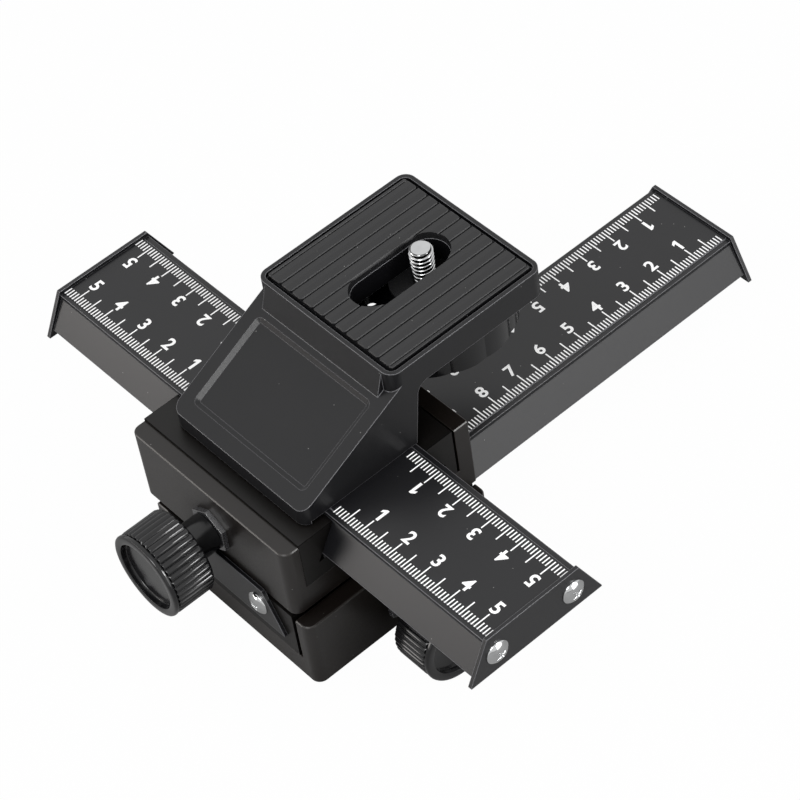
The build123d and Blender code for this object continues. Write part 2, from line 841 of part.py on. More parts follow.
def screw_wheel():
    """The lobed wheel under the platform: rim, thin web with round windows, and hub."""
    arcs = []
    for number in range(wheel_lobes):
        arcs.append(ThreePointArc(
            wheel_point(wheel_notch_radius, wheel_notch_turn, number),
            wheel_point(wheel_radius, wheel_notch_turn, number + 0.5),
            wheel_point(wheel_notch_radius, wheel_notch_turn, number + 1),
        ))
    wheel = extrude(make_face(Wire(arcs)), amount=wheel_high - wheel_low, dir=(0, 0, 1))
    inner = wheel_notch_radius - wheel_rim_wall
    wheel -= rod_z(inner, 0, 0, wheel_low + wheel_web, wheel_high)
    hub_top = platform_low - washer_thickness - sliding
    wheel += rod_z(wheel_hub_radius, 0, 0, wheel_low, hub_top)
    for number in range(wheel_window_count):
        angle = math.radians(wheel_window_turn + 360 * number / wheel_window_count)
        x = wheel_window_ring * math.cos(angle)
        y = wheel_window_ring * math.sin(angle)
        wheel -= rod_z(wheel_window_radius, x, y, wheel_low, wheel_low + wheel_web)
    return wheel - rod_z(screw_shank_radius, 0, 0, wheel_low, hub_top)


def screw_washer():
    top = platform_low
    washer = rod_z(washer_radius, 0, 0, top - washer_thickness, top)
    return washer - rod_z(screw_shank_radius + running, 0, 0, top - washer_thickness, top)


def screw_clip():
    """The retaining ring under the wheel, on the screw's lower end."""
    ring = rod_z(clip_radius, 0, 0, wheel_low - clip_thickness, wheel_low)
    return ring - rod_z(screw_shank_radius, 0, 0, wheel_low - clip_thickness, wheel_low)


def platform_nodes():
    on_rail = Pos(cross_rail_x, 0, middle_rail_top)
    on_axis = on_rail * Pos(0, screw_y, 0)
    return {
        "tower": [on_rail * tower_piece()],
        "rubber_pad": [on_rail * rubber_pad()],
        "camera_screw": [on_axis * camera_screw()],
        "screw_wheel": [on_axis * screw_wheel()],
        "screw_washer": [on_axis * screw_washer()],
        "screw_clip": [on_axis * screw_clip()],
    }


def all_nodes():
    nodes = lower_unit()
    nodes.update(middle_unit())
    rail_places = long_rail_screw_places()
    long_rail = rail_nodes("y", ("_plate_front", "_plate_rear"), lower_rail_centre, rail_places)
    nodes.update(placed_lower(long_rail))
    nodes.update(placed_lower({"y_rail_screws": fixing_screws(rail_places)}))
    cross_places = cross_rail_screw_places()
    cross_centre = cross_rail_x - middle_unit_x
    cross_rail = rail_nodes("x", ("_plate_left", "_plate_right"), cross_centre, cross_places)
    nodes.update(placed_middle(cross_rail))
    nodes.update(placed_middle({"tower_screws": fixing_screws(cross_places)}))
    nodes.update(platform_nodes())
    return nodes


def main():
    os.makedirs("parts", exist_ok=True)
    for name, solids in all_nodes().items():
        pieces = []
        for solid in solids:
            pieces.extend(solid.solids())
        shape = pieces[0] if len(pieces) == 1 else Compound(pieces)
        export_step(shape, "parts/" + name + ".step")
        print(name, len(pieces))


main()
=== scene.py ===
import json
import math

import bmesh
import bpy
from mathutils import Matrix, Vector


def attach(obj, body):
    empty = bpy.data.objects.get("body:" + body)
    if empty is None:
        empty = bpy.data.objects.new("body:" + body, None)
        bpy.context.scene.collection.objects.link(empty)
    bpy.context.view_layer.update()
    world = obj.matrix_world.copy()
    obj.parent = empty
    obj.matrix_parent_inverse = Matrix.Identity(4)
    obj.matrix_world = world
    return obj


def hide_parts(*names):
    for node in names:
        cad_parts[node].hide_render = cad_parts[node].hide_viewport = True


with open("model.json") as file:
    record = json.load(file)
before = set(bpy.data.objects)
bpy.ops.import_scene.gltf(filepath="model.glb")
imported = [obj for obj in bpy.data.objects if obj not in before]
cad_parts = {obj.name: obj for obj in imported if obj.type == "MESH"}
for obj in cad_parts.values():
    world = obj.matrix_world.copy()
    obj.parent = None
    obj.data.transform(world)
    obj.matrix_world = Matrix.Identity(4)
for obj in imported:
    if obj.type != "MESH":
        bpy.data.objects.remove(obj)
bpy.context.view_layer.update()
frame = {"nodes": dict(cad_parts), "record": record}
nodes = frame["nodes"]
mm = 0.001
places = {
    # mm, in the part's frame
    "towerX": -1.6,  # the middle of tower, pad and camera screw
    "screwY": 42.5,
    "crossRailTop": 47.9,
    "longRailTop": 23.7,
    "longRailX": -0.5,
}
print("frame loaded:", len(nodes), "nodes")


def linear(hexColour):
    channels = [int(hexColour[i:i + 2], 16) / 255 for i in (1, 3, 5)]
    return tuple(c / 12.92 if c <= 0.04045 else ((c + 0.055) / 1.055) ** 2.4 for c in channels) + (1.0,)


def addNode(tree, kind, values=None, links=None, **settings):
    node = tree.nodes.new("ShaderNode" + kind)
    for key, value in settings.items():
        setattr(node, key, value)
    for key, value in (values or {}).items():
        node.inputs[key].default_value = value
    for key, socket in (links or {}).items():
        tree.links.new(socket, node.inputs[key])
    return node


surface = {
    "bevelSamples": 6, "hollowSamples": 4,
    "edgeFrom": 0.995, "edgeFull": 0.9,  # how far the rounded normal has turned at an edge, as a cosine
    "hollow": 25.0,  # mm; within this reach other faces bring painted shade that weakens the sheen
    "shutAway": 0.22, "openAir": 0.62,  # shares of open sky between which the sheen grows
    "sheenShutAway": 0.03, "sheenOpen": 0.5,
    "speckColour": "#9a9a98", "speckCover": 0.8, "speckCore": 0.6,
    # painted shade in the camera screw's thread roots
    "rootShadeColour": "#060605",
    # painted shade on faces turned one way: where it starts, where it is full, and the sheen left there
    "shadeFacingFrom": 0.97, "shadeFacingFull": 0.99, "shadeFacingSheen": 0.3,
}


def addSpecks(tree, look, place, colour):
    # a few pale dust specks
    dust = addNode(tree, "TexVoronoi", {"Scale": 1 / (look["speck"] * mm)}, {"Vector": place})
    core = look["speckSize"] * surface["speckCore"]
    grit = addNode(tree, "MapRange",
                   {"From Min": look["speckSize"], "From Max": core, "To Max": surface["speckCover"]},
                   {"Value": dust.outputs["Distance"]})
    dusted = addNode(tree, "Mix", {7: linear(surface["speckColour"])}, {0: grit.outputs[0], 6: colour},
                     data_type="RGBA")
    return dusted.outputs[2]


def paintRootShade(tree, look, place, colour):
    # painted shade in the thread's roots, black in the photo: dark within a distance of the screw's axis
    dark, bright = (value * mm for value in look["rootShadeRadii"])
    axis = (places["towerX"] * mm, places["screwY"] * mm, 0)
    aside = addNode(tree, "VectorMath", {1: axis}, {0: place}, operation="SUBTRACT")
    across = addNode(tree, "VectorMath", {1: (1, 1, 0)}, {0: aside.outputs[0]}, operation="MULTIPLY")
    reach = addNode(tree, "VectorMath", links={0: across.outputs[0]}, operation="LENGTH")
    clean = addNode(tree, "MapRange", {"From Min": dark, "From Max": bright},
                    {"Value": reach.outputs["Value"]})
    rootShaded = addNode(tree, "Mix", {6: linear(surface["rootShadeColour"])}, {0: clean.outputs[0], 7: colour},
                     data_type="RGBA")
    return rootShaded.outputs[2]


def sheenWithPaintedShade(tree, look, edge, normal):
    # painted shade, an aid: less sheen where other faces stand close, as a real coat shines the same
    # everywhere
    hollow = look.get("hollow", surface["hollow"]) * mm
    around = addNode(tree, "AmbientOcclusion", {"Distance": hollow}, samples=surface["hollowSamples"])
    limits = {"From Min": surface["shutAway"], "From Max": surface["openAir"],
              "To Min": surface["sheenShutAway"], "To Max": surface["sheenOpen"]}
    level = addNode(tree, "MapRange", limits, {"Value": around.outputs["AO"]}).outputs[0]
    # painted shade along the edges: no sheen there, so the seams read black
    if "paintedSeamShade" in look:
        seamShade = addNode(tree, "MapRange", {"To Min": 1.0, "To Max": 0.0}, {"Value": edge})
        level = addNode(tree, "Math", links={0: level, 1: seamShade.outputs[0]}, operation="MULTIPLY").outputs[0]
    # painted shade on faces turned one way: they lose most of their sheen
    if "paintedShadeFacing" in look:
        facing = addNode(tree, "VectorMath", {1: look["paintedShadeFacing"]}, {0: normal}, operation="DOT_PRODUCT")
        limits = {"From Min": surface["shadeFacingFrom"], "From Max": surface["shadeFacingFull"],
                  "To Min": 1.0, "To Max": surface["shadeFacingSheen"]}
        facingShade = addNode(tree, "MapRange", limits, {"Value": facing.outputs["Value"]})
        level = addNode(tree, "Math", links={0: level, 1: facingShade.outputs[0]}, operation="MULTIPLY").outputs[0]
    return level


def makeMaterial(name, look):
    # two close tones in soft patches, a surface grain in the bump, edges rounded and given a painted edge
    # colour: a lighter one is a painted highlight, on the saddles a black one is painted shade
    material = bpy.data.materials.new(name)
    material.use_nodes = True
    tree = material.node_tree
    tree.nodes.clear()
    place = addNode(tree, "TexCoord").outputs["Object"]
    patchScale = 1 / (look["patch"] * mm)
    patches = addNode(tree, "TexNoise", {"Scale": patchScale, "Detail": 4.0}, {"Vector": place})
    tone = addNode(tree, "Mix", {6: linear(look["colour"]), 7: linear(look["second"])},
                   {0: patches.outputs["Fac"]}, data_type="RGBA")

    bevel = addNode(tree, "Bevel", {"Radius": look["edge"] * mm}, samples=surface["bevelSamples"])
    rounded = bevel.outputs[0]
    normal = addNode(tree, "NewGeometry").outputs["Normal"]
    turn = addNode(tree, "VectorMath", links={0: rounded, 1: normal}, operation="DOT_PRODUCT")
    limits = {"From Min": surface["edgeFrom"], "From Max": surface["edgeFull"], "To Max": look["paintedEdgeShare"]}
    edge = addNode(tree, "MapRange", limits, {"Value": turn.outputs["Value"]}).outputs[0]
    # the painted edge colour: a painted highlight where it is lighter, painted shade where it is darker
    paintedEdge = addNode(tree, "Mix", {7: linear(look["paintedEdgeColour"])}, {0: edge, 6: tone.outputs[2]},
                     data_type="RGBA")
    colour = paintedEdge.outputs[2]
    if "speck" in look:
        colour = addSpecks(tree, look, place, colour)
    if "rootShadeRadii" in look:
        colour = paintRootShade(tree, look, place, colour)

    grainScale = 1 / (look["grain"] * mm)
    stretched = addNode(tree, "Mapping", {"Scale": look.get("stretch", (1, 1, 1))}, {"Vector": place})
    noise = addNode(tree, "TexNoise", {"Scale": grainScale, "Detail": 2.0}, {"Vector": stretched.outputs[0]})
    grain = noise.outputs["Fac"]
    bump = addNode(tree, "Bump", {"Distance": look["grainDepth"] * mm, "Strength": 1.0},
                   {"Height": grain, "Normal": rounded})
    least, most = look["roughness"]
    roughness = addNode(tree, "MapRange", {"To Min": least, "To Max": most}, {"Value": grain})

    shader = addNode(tree, "BsdfPrincipled", {"Metallic": look.get("metallic", 0.0)},
                     {"Base Color": colour, "Roughness": roughness.outputs[0], "Normal": bump.outputs[0]})
    if "metallic" not in look:
        shader.inputs["IOR"].default_value = look["ior"]
        tree.links.new(sheenWithPaintedShade(tree, look, edge, normal), shader.inputs["Specular IOR Level"])
    if "glow" in look:
        shader.inputs["Emission Color"].default_value = (1, 1, 1, 1)
        shader.inputs["Emission Strength"].default_value = look["glow"]
    addNode(tree, "OutputMaterial", links={"Surface": shader.outputs[0]})
    return material


# In each look: tones and their patch size in mm, grain size and depth in mm, least and most roughness,
# edge radius in mm, and the painted edge colour and how strongly it is laid on (a painted highlight, on the
# saddles painted shade); some have specks or their own reach of painted shade.

# Extruded aluminium, blasted and black anodised: satin, a little blue.
anodisedLook = {
    "colour": "#0c0c0e", "second": "#121215", "patch": 14.0,
    "grain": 0.5,  # the blasting is finer, drawn coarse enough to show
    "grainDepth": 0.005, "roughness": (0.26, 0.38), "ior": 1.5,
    "edge": 0.3, "paintedEdgeColour": "#8c8c90", "paintedEdgeShare": 0.75, "speck": 4.0, "speckSize": 0.035, "hollow": 14.0,
}
# Die-cast alloy under a black powder coat: a warm black with a fine orange-peel skin.
castLook = {
    "colour": "#100d0b", "second": "#161210", "patch": 11.0,
    "grain": 0.6, "grainDepth": 0.006, "roughness": (0.25, 0.37), "ior": 1.5,
    "edge": 0.25, "paintedEdgeColour": "#6a6560", "paintedEdgeShare": 0.25, "speck": 4.0, "speckSize": 0.035, "hollow": 45.0,
}
# The tower is the same casting with a bluer coat, as the photo shows it.
towerLook = {
    "colour": "#0d0d0f", "second": "#131315", "patch": 12.0,
    "grain": 0.6, "grainDepth": 0.006, "roughness": (0.28, 0.4), "ior": 1.43,
    "edge": 0.3, "paintedEdgeColour": "#9c9ca0", "paintedEdgeShare": 0.6, "speck": 4.0, "speckSize": 0.035,
    # painted shade: faces turned this way, as the recess's upper wall, lose most of their sheen; that wall
    # is far darker in the photo than its draft would make it
    "paintedShadeFacing": (0, -0.845, 0.534),
}
# The saddles have the same coat, darker and less glossy, with painted shade along their edges, black and
# without sheen, that draws the thin black seams of the photo.
saddleSeamShadeLook = {
    "colour": "#0a0908", "second": "#0e0c0b", "patch": 9.0,
    "grain": 0.6, "grainDepth": 0.006, "roughness": (0.34, 0.46), "ior": 1.36,
    "edge": 0.35, "paintedEdgeColour": "#020202", "paintedEdgeShare": 1.0, "paintedSeamShade": True, "hollow": 45.0,
}
# Hardened steel, blackened: dark and oily, with lathe marks too fine to see.
blackScrewLook = {
    "colour": "#141414", "second": "#1c1b1a", "patch": 3.0,
    "grain": 0.3, "grainDepth": 0.004, "roughness": (0.25, 0.38), "ior": 1.8,
    "edge": 0.2, "paintedEdgeColour": "#4c4b49", "paintedEdgeShare": 0.5,
}
# The hexagons of the bearings, read as black nickel plate: dark, with brighter facets.
hexLook = {
    "colour": "#3c3c3e", "second": "#333335", "patch": 3.0,
    "grain": 0.4, "grainDepth": 0.004, "roughness": (0.22, 0.32), "ior": 2.0,
    "edge": 0.2, "paintedEdgeColour": "#8a8a8a", "paintedEdgeShare": 0.6, "hollow": 2.0,
}
# Nickel-plated steel, barrel polished: bright, with a soft wavering reflection.
brightLook = {
    "colour": "#cfd0d0", "second": "#b9babb", "patch": 2.0, "metallic": 1.0,
    "grain": 0.8, "grainDepth": 0.004, "roughness": (0.04, 0.1),
    "edge": 0.15, "paintedEdgeColour": "#e4e4e4", "paintedEdgeShare": 0.4,
}
# The camera screw is the same plate with painted shade in the thread's roots: black within the first of
# these radii and bright beyond the second.
studLook = dict(brightLook, rootShadeRadii=(2.5, 2.8))
# Ground steel: grey metal with a dull even shine.
steelLook = {
    "colour": "#9a9a98", "second": "#868583", "patch": 4.0, "metallic": 1.0,
    "grain": 0.25, "grainDepth": 0.004, "roughness": (0.28, 0.42), "stretch": (0.2, 1, 1),
    "edge": 0.15, "paintedEdgeColour": "#c0c0be", "paintedEdgeShare": 0.4,
}
# Turned brass: yellow metal, slightly tarnished in patches.
brassLook = {
    "colour": "#b9975b", "second": "#9c7c47", "patch": 3.0, "metallic": 1.0,
    "grain": 0.25, "grainDepth": 0.003, "roughness": (0.25, 0.4),
    "edge": 0.15, "paintedEdgeColour": "#d8bb80", "paintedEdgeShare": 0.4,
}
# ABS, moulded black in a polished mould: glossy ribs, a slightly waxy face.
knobLook = {
    "colour": "#0b0b0c", "second": "#101012", "patch": 6.0,
    "grain": 0.7, "grainDepth": 0.003, "roughness": (0.1, 0.18), "ior": 1.5,
    "edge": 0.12, "paintedEdgeColour": "#4c4c4e", "paintedEdgeShare": 0.3, "hollow": 6.0,
}
# The wheel is the same plastic with painted shade reaching further, as the platform above it weakens its
# sheen.
wheelLook = dict(knobLook, hollow=22.0)
# Acetal, taken as black because the photo shows no light spot at the strips: dark and waxy.
acetalLook = {
    "colour": "#111112", "second": "#171718", "patch": 5.0,
    "grain": 0.5, "grainDepth": 0.003, "roughness": (0.35, 0.48), "ior": 1.48,
    "edge": 0.2, "paintedEdgeColour": "#2c2c2e", "paintedEdgeShare": 0.3,
}
# Moulded rubber: matt charcoal with a fine grain and a little dust caught in it.
rubberLook = {
    "colour": "#0f0f10", "second": "#151517", "patch": 5.0,
    "grain": 0.45, "grainDepth": 0.012, "roughness": (0.42, 0.55), "ior": 1.52,
    "edge": 0.12, "paintedEdgeColour": "#3a3a3c", "paintedEdgeShare": 0.3,
    "speck": 3.2, "speckSize": 0.045, "hollow": 3.0,
}
# Screen-printed white ink: matt, with two close whites. A small glow, painted light, keeps it white in
# shade.
inkLook = {
    "colour": "#f2f2f2", "second": "#e2e2e2", "patch": 0.8,
    "grain": 0.3, "grainDepth": 0.002, "roughness": (0.45, 0.6), "ior": 1.5,
    "edge": 0.02, "paintedEdgeColour": "#f2f2f2", "paintedEdgeShare": 0.0, "glow": 0.22,
}

anodised = makeMaterial("anodisedAluminium", anodisedLook)
castCoat = makeMaterial("powderCoatedCasting", castLook)
towerCoat = makeMaterial("powderCoatedTower", towerLook)
blackScrew = makeMaterial("blackenedSteel", blackScrewLook)
brightScrew = makeMaterial("nickelPlate", brightLook)
studPlate = makeMaterial("nickelPlateThread", studLook)
steel = makeMaterial("groundSteel", steelLook)
brass = makeMaterial("turnedBrass", brassLook)
knobPlastic = makeMaterial("mouldedKnob", knobLook)
wheelPlastic = makeMaterial("mouldedWheel", wheelLook)
acetal = makeMaterial("blackAcetal", acetalLook)
saddleSeamShadeCoat = makeMaterial("saddleCoatSeamShade", saddleSeamShadeLook)
hexPlate = makeMaterial("blackNickelHexagon", hexLook)
rubber = makeMaterial("mouldedRubber", rubberLook)
ink = makeMaterial("whiteInk", inkLook)
print("materials made")

finishOfSlot = {
    "cast_black": castCoat, "anodised_black": anodised, "black_screws": blackScrew,
    "bright_screws": brightScrew, "steel": steel, "brass": brass, "knob_plastic": knobPlastic,
    "acetal": acetal, "rubber": rubber,
}
slotOfNode = {part["node"]: part["material_slot"] for part in frame["record"]["subparts"]}
for name, node in nodes.items():
    node.data.materials.clear()
    node.data.materials.append(finishOfSlot[slotOfNode[name]])
ownFinish = {
    "tower": towerCoat, "screw_wheel": wheelPlastic,
    "screw_washer": acetal,  # steel in the record, but nothing bright shows there in the photo
    "x_saddle": saddleSeamShadeCoat, "y_saddle": saddleSeamShadeCoat, "x_hex_bush": hexPlate, "y_hex_bush": hexPlate,
}
for name, finish in ownFinish.items():
    nodes[name].data.materials[0] = finish
print("CAD pieces finished")

# the scales are printed on top of both rails
scales = {
    "zeroX": 25.37,  # mm, from the tower's middle to each zero
    "lengthX": 54,
    "zeroY": 129.83,
    "lengthY": 100,
    "outer": 12.8,  # from the rail's middle to the outer ends of the lines
    "line": 0.36,
    "short": 2.4,
    "long": 4.9,
    "figureFoot": 7.4,
    "figureHeight": 3.85,
    "figureWeight": 0.024,
    "lift": 0.012,
    # Blender's own figure 1 has no nose, so this one is drawn: outline in shares of the height
    "one": [(-0.04, 0), (0.17, 0), (0.17, 1), (0.0, 1), (-0.24, 0.82), (-0.24, 0.6), (-0.04, 0.73)],
}


def addQuad(mesh, corners):
    mesh.faces.new([mesh.verts.new(corner) for corner in corners])


def addScaleLine(mesh, origin, along, inward, length):
    half = scales["line"] / 2 * mm
    reach = length * mm
    addQuad(mesh, [origin - along * half, origin + along * half,
                   origin + along * half + inward * reach, origin - along * half + inward * reach])


def figureMesh(text):
    # one figure from Blender's own font, flat, foot at y = 0, middle at x = 0
    curve = bpy.data.curves.new("figure", "FONT")
    curve.body = text
    curve.align_x = "CENTER"
    curve.offset = scales["figureWeight"]
    curve.resolution_u = 4
    holder = bpy.data.objects.new("figure", curve)
    bpy.context.scene.collection.objects.link(holder)
    bpy.context.view_layer.update()
    flat = bpy.data.meshes.new_from_object(holder.evaluated_get(bpy.context.evaluated_depsgraph_get()))
    bpy.data.objects.remove(holder)
    bpy.data.curves.remove(curve)
    acrosses = [vertex.co.x for vertex in flat.vertices]
    low = min(vertex.co.y for vertex in flat.vertices)
    high = max(vertex.co.y for vertex in flat.vertices)
    middle = (min(acrosses) + max(acrosses)) / 2
    grow = scales["figureHeight"] * mm / (high - low)
    for vertex in flat.vertices:
        vertex.co = Vector(((vertex.co.x - middle) * grow, (vertex.co.y - low) * grow, 0))
    return flat


def figureOne():
    drawn = bpy.data.meshes.new("figureOne")
    height = scales["figureHeight"]
    corners = [(x * height * mm, y * height * mm, 0) for x, y in scales["one"]]
    drawn.from_pydata(corners, [], [list(range(len(corners)))])
    return drawn


figures = {"1": figureOne()}


def addFigure(mesh, text, foot, right, up):
    if text not in figures:
        figures[text] = figureMesh(text)
    figure = figures[text]
    made = [mesh.verts.new(foot + right * vertex.co.x + up * vertex.co.y) for vertex in figure.vertices]
    for face in figure.polygons:
        mesh.faces.new([made[index] for index in face.vertices])


def addScale(mesh, zero, along, outward, up, length):
    # zero lies on the rail's middle line; outward points from there to this scale's edge
    inward = -outward
    for number in range(1, length + 1):
        start = zero + along * (number * mm) + outward * (scales["outer"] * mm)
        addScaleLine(mesh, start, along, inward, scales["long"] if number % 5 == 0 else scales["short"])
        if number % 10 == 0:
            foot = zero + along * (number * mm) + outward * (scales["figureFoot"] * mm)
            addFigure(mesh, str(number // 10), foot, inward.cross(up), inward)


def pieceFromMesh(name, mesh, material, body):
    data = bpy.data.meshes.new(name)
    mesh.normal_update()
    mesh.to_mesh(data)
    mesh.free()
    data.materials.append(material)
    piece = bpy.data.objects.new(name, data)
    bpy.context.scene.collection.objects.link(piece)
    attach(piece, body)
    return piece


def printScale(name, mesh, body):
    for face in mesh.faces:
        face.normal_update()
        if face.normal.z < 0:
            face.normal_flip()
    pieceFromMesh(name, mesh, ink, body)


up = Vector((0, 0, 1))
crossScale = bmesh.new()
for side in (-1, 1):
    start = places["towerX"] + side * scales["zeroX"]
    zero = Vector((start, 0, places["crossRailTop"] + scales["lift"])) * mm
    for edge in (-1, 1):
        addScale(crossScale, zero, Vector((side, 0, 0)), Vector((0, edge, 0)), up, scales["lengthX"])
longScale = bmesh.new()
zero = Vector((places["longRailX"], scales["zeroY"], places["longRailTop"] + scales["lift"])) * mm
for edge in (-1, 1):
    addScale(longScale, zero, Vector((0, -1, 0)), Vector((edge, 0, 0)), up, scales["lengthY"])
printScale("crossRailScale", crossScale, "x_carriage")
printScale("longRailScale", longScale, "y_carriage")
print("scales printed")

stud = {
    "pitch": 1.27,  # 20 threads to the inch
    "crest": 3.1, "root": 2.3,
    "rootShare": 0.28, "flankShare": 0.6,  # of half a pitch: the root, then the rise to the crest
    "runIn": 0.4,
    "low": 66.13, "tip": 76.8,  # the thread's ends, mm above the base
    "shankRadius": 2.9, "shankLow": 53.5,
    "chamfer": 0.7, "chamferSlope": 0.9,
    "sides": 64, "steps": 16,
}


def threadRadius(height, share):
    # share is the part of a turn; a narrow crest and a rounded root
    phase = (height / stud["pitch"] - share) % 1.0
    flank = 1 - abs(phase * 2 - 1)
    rise = min(max((flank - stud["rootShare"]) / stud["flankShare"], 0.0), 1.0)
    rise = rise * rise * (3 - 2 * rise)
    radius = stud["root"] + (stud["crest"] - stud["root"]) * rise
    toTip = stud["tip"] - height
    toLow = height - stud["low"]
    if toTip < stud["chamfer"]:
        radius = min(radius, stud["crest"] - (stud["chamfer"] - toTip) * stud["chamferSlope"])
    if toLow < stud["runIn"]:
        radius = min(radius, stud["shankRadius"])
    return radius


def ring(mesh, radiusAt, height):
    made = []
    for number in range(stud["sides"]):
        share = number / stud["sides"]
        angle = math.tau * number / stud["sides"]
        reach = radiusAt(height, share)
        across = places["towerX"] + reach * math.cos(angle)
        along = places["screwY"] + reach * math.sin(angle)
        made.append(mesh.verts.new(Vector((across, along, height)) * mm))
    return made


def shankRadius(height, share):
    return stud["shankRadius"]


def bridge(mesh, lower, upper):
    count = len(lower)
    for number in range(count):
        after = (number + 1) % count
        mesh.faces.new([lower[number], lower[after], upper[after], upper[number]])


screw = bmesh.new()
rings = [ring(screw, shankRadius, stud["shankLow"]), ring(screw, shankRadius, stud["low"])]
rows = int((stud["tip"] - stud["low"]) / stud["pitch"] * stud["steps"])
for row in range(1, rows + 1):
    height = stud["low"] + (stud["tip"] - stud["low"]) * row / rows
    rings.append(ring(screw, threadRadius, height))
for lower, upper in zip(rings, rings[1:]):
    bridge(screw, lower, upper)
screw.faces.new(reversed(rings[0]))
tipFace = screw.faces.new(rings[-1])
tipFace.material_index = 1  # the flat end gets no painted root shade
for face in screw.faces:
    face.smooth = len(face.verts) == 4
screwPiece = pieceFromMesh("threadedCameraScrew", screw, studPlate, "screw_turn")
screwPiece.data.materials.append(brightScrew)
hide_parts("camera_screw")
print("camera screw threaded")

knob = {
    "ribs": 40, "ribDepth": 0.5, "ribPower": 2.2, "samples": 10,
    # along the axis from the unit's middle, radius, share of the rib's depth (mm)
    "profile": [
        (47.2, 2.52, 0), (30.85, 2.52, 0), (30.85, 5.0, 0), (31.05, 5.2, 0), (37.8, 5.2, 0), (38.05, 5.3, 0),
        (38.2, 5.6, 0), (38.2, 10.9, 0), (38.3, 11.1, 0.2), (38.6, 11.5, 0.8), (39.0, 11.65, 1),
        (43.5, 11.65, 1), (48.5, 11.65, 1), (48.9, 11.5, 0.8), (49.1, 11.2, 0.2), (49.15, 11.0, 0),
        (49.35, 11.0, 0), (49.4, 11.45, 0), (49.55, 11.63, 0), (49.8, 11.65, 0), (50.1, 11.65, 0),
        (50.4, 11.53, 0), (50.55, 11.3, 0), (50.6, 11.0, 0), (50.6, 9.6, 0), (50.5, 9.35, 0),
        (50.2, 9.3, 0), (49.2, 9.3, 0), (48.98, 9.2, 0), (48.9, 8.95, 0), (48.9, 4.0, 0),
    ],
    # a point of the axis, its direction, the body
    "axes": {"y": ((0, 0, 9.0), (1, 0, 0), "y_drive"), "x": ((-3.9, 0, 33.2), (0, -1, 0), "x_drive")},
}
plateScrew = {
    "radius": 3.3,  # the photo shows the heads larger than the solids' 3.05
    "headInCad": 3.05,
    "edge": 0.35, "height": 1.65,
    "shankRadius": 1.5, "length": 9.0,
    "endRing": 0.6,  # radius of the first ring on the shank's end
    "edgeTop": 0.9,  # share of the edge that is upright
    "domeReach": 0.985,  # the dome's first ring, as a share of the radius
    "crossReach": 1.45, "crossHalf": 0.26, "crossDepth": 0.75, "crossTurn": 0.5,
    "wallWidth": 0.12, "endWidth": 0.25,  # how gently the cross's walls and ends rise
    "plainBeyond": 0.3,  # past the cross's reach, where the head is a plain dome
    "sides": 64, "rings": 18,
}
sharpAngle = 32  # degrees between faces, beyond which an edge is drawn sharp


def turned(mesh, base, axis, rows, sides):
    # rows of (along, radius at a share of the turn), closed by a point at each end
    axis = Vector(axis)
    across = Vector((0, 0, 1))
    third = axis.cross(across)
    made = []
    for row in rows:
        circle = []
        for number in range(sides):
            along, radius = row(number / sides)
            angle = math.tau * number / sides
            aside = third * math.cos(angle) + across * math.sin(angle)
            spot = Vector(base) + axis * along + aside * radius
            circle.append(mesh.verts.new(spot * mm))
        made.append(circle)
    for lower, upper in zip(made, made[1:]):
        bridge(mesh, lower, upper)
    for circle in (made[0], made[-1]):
        middle = sum((vertex.co for vertex in circle), Vector()) / sides
        point = mesh.verts.new(middle)
        for number in range(sides):
            mesh.faces.new([circle[number], circle[(number + 1) % sides], point])


def smoothPiece(name, mesh, material, body, replaced):
    bmesh.ops.recalc_face_normals(mesh, faces=mesh.faces)
    for face in mesh.faces:
        face.smooth = True
    piece = pieceFromMesh(name, mesh, material, body)
    piece.data.set_sharp_from_angle(angle=math.radians(sharpAngle))
    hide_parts(replaced)


def knobRow(along, radius, share):
    def at(turn):
        offset = turn * knob["ribs"] % 1.0 * 2 - 1
        return along, radius - share * knob["ribDepth"] * abs(offset) ** knob["ribPower"]
    return at


for letter, (base, axis, body) in knob["axes"].items():
    mesh = bmesh.new()
    turned(mesh, base, axis, [knobRow(*row) for row in knob["profile"]], knob["ribs"] * knob["samples"])
    smoothPiece(letter + "KnobRibbed", mesh, knobPlastic, body, letter + "_knob")


def headRow(radius, top):
    def at(turn):
        if radius > plateScrew["crossReach"] + plateScrew["plainBeyond"]:
            return top, radius
        angle = math.tau * turn + plateScrew["crossTurn"]
        x, y = abs(radius * math.cos(angle)), abs(radius * math.sin(angle))
        narrow, long = min(x, y), max(x, y)
        inside = min(max((plateScrew["crossHalf"] - narrow) / plateScrew["wallWidth"] + 0.5, 0.0), 1.0)
        inside *= min(max((plateScrew["crossReach"] - long) / plateScrew["endWidth"], 0.0), 1.0)
        return top - plateScrew["crossDepth"] * inside, radius
    return at


def plainRow(along, radius):
    return lambda turn: (along, radius)


def screwRows():
    edge, height, radius = plateScrew["edge"], plateScrew["height"], plateScrew["radius"]
    rise = height - edge
    ball = (radius ** 2 + rise ** 2) / (2 * rise)
    bottom, shank = -plateScrew["length"], plateScrew["shankRadius"]
    rows = [plainRow(bottom, plateScrew["endRing"]), plainRow(bottom, shank), plainRow(0, shank),
            plainRow(0, radius), plainRow(edge * plateScrew["edgeTop"], radius)]
    for number in range(plateScrew["rings"]):
        reach = radius * plateScrew["domeReach"] * (1 - number / plateScrew["rings"])
        rows.append(headRow(reach, height - ball + math.sqrt(ball ** 2 - reach ** 2)))
    return rows


